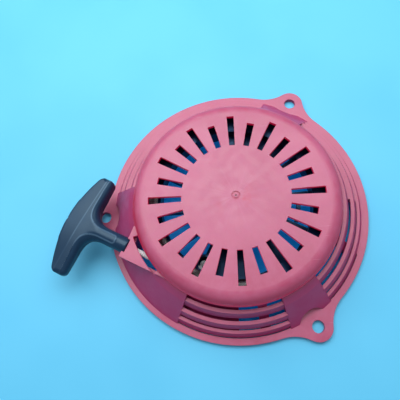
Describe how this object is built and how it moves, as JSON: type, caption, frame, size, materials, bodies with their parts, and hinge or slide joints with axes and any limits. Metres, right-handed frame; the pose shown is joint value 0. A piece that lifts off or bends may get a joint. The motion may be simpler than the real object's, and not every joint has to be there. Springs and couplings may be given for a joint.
{
  "type": "recoil starter",
  "caption": "Pull starter for a small vertical-shaft engine: slotted round cap on a louvred three-ear flange, T grip on a rope, spring reel and ratchets inside.",
  "frame": {"origin": "centre of the mounting flange's bottom face, on the reel's axis", "axes": "+Z along the reel's axis, from the flange up to the slotted cap; +X along one long slot; the rope leaves towards -X and a little +Y"},
  "size_m": [0.227, 0.1932, 0.037],
  "materials": {
    "housing": "moulded red plastic, half gloss with a fine grain",
    "rope_guide": "turned steel bush",
    "thrust_washer": "stamped steel",
    "centre_screw": "zinc-plated steel",
    "recoil_spring": "blued spring-steel strip, lightly greased",
    "reel": "moulded black plastic",
    "rope_on_reel": "braided nylon",
    "reel_knot": "braided nylon, knotted",
    "ratchet_guide": "moulded black plastic",
    "friction_spring": "bent spring wire",
    "rope_run": "braided nylon",
    "rope_washer": "stamped steel",
    "grip_knot": "braided nylon, knotted",
    "grip": "moulded dark plastic, satin",
    "ratchet_a": "hardened steel",
    "ratchet_b": "hardened steel",
    "ratchet_spring_a": "spring wire",
    "ratchet_spring_b": "spring wire"
  },
  "bodies": {
    "housing": {"housing": "housing", "rope_guide": "rope_guide", "thrust_washer": "thrust_washer", "centre_screw": "centre_screw", "recoil_spring": "recoil_spring"},
    "reel": {"reel": "reel", "rope_on_reel": "rope_on_reel", "reel_knot": "reel_knot", "ratchet_spring_a": "ratchet_spring_a", "ratchet_spring_b": "ratchet_spring_b"},
    "guide": {"ratchet_guide": "ratchet_guide", "friction_spring": "friction_spring"},
    "pawl_a": {"ratchet_a": "ratchet_a"},
    "pawl_b": {"ratchet_b": "ratchet_b"},
    "pull_rope": {"rope_run": "rope_run", "rope_washer": "rope_washer", "grip_knot": "grip_knot"},
    "grip": {"grip": "grip"}
  },
  "joints": [
    {"name": "grip_pull", "type": "slide", "parent": "housing", "child": "pull_rope", "axis": [-0.8829, 0.4695, 0], "range_m": [0, 1], "stiffness_N_per_m": 9, "springref_m": -0.87, "deforming": ["rope_run"]},
    {"name": "reel_spin", "type": "hinge", "parent": "housing", "child": "reel", "pos_m": [0, 0, 0], "axis": [0, 0, 1], "range_deg": [-940, 0], "deforming": ["recoil_spring", "rope_on_reel"]},
    {"name": "grip_twist", "type": "hinge", "parent": "pull_rope", "child": "grip", "pos_m": [-0.07685, -0.02823, 0.0233], "axis": [-0.8829, 0.4695, 0], "range_deg": [-15, 15]},
    {"name": "guide_turn", "type": "hinge", "parent": "reel", "child": "guide", "pos_m": [0, 0, 0.007], "axis": [0, 0, 1], "range_deg": [0, 25], "stiffness_Nm_per_rad": 0.02, "springref_deg": -17.19},
    {"name": "ratchet_a_swing", "type": "hinge", "parent": "reel", "child": "pawl_a", "pos_m": [0.01645, 0.00598, 0.0115], "axis": [0, 0, 1], "range_deg": [0, 30], "deforming": ["ratchet_spring_a"]},
    {"name": "ratchet_b_swing", "type": "hinge", "parent": "reel", "child": "pawl_b", "pos_m": [-0.01645, -0.00598, 0.0115], "axis": [0, 0, 1], "range_deg": [0, 30], "deforming": ["ratchet_spring_b"]}
  ],
  "couplings": [
    {"joint": "reel_spin", "follows": "grip_pull", "rad_per_m": -16.393},
    {"joint": "ratchet_a_swing", "follows": "guide_turn", "ratio": 1.2},
    {"joint": "ratchet_b_swing", "follows": "guide_turn", "ratio": 1.2}
  ]
}
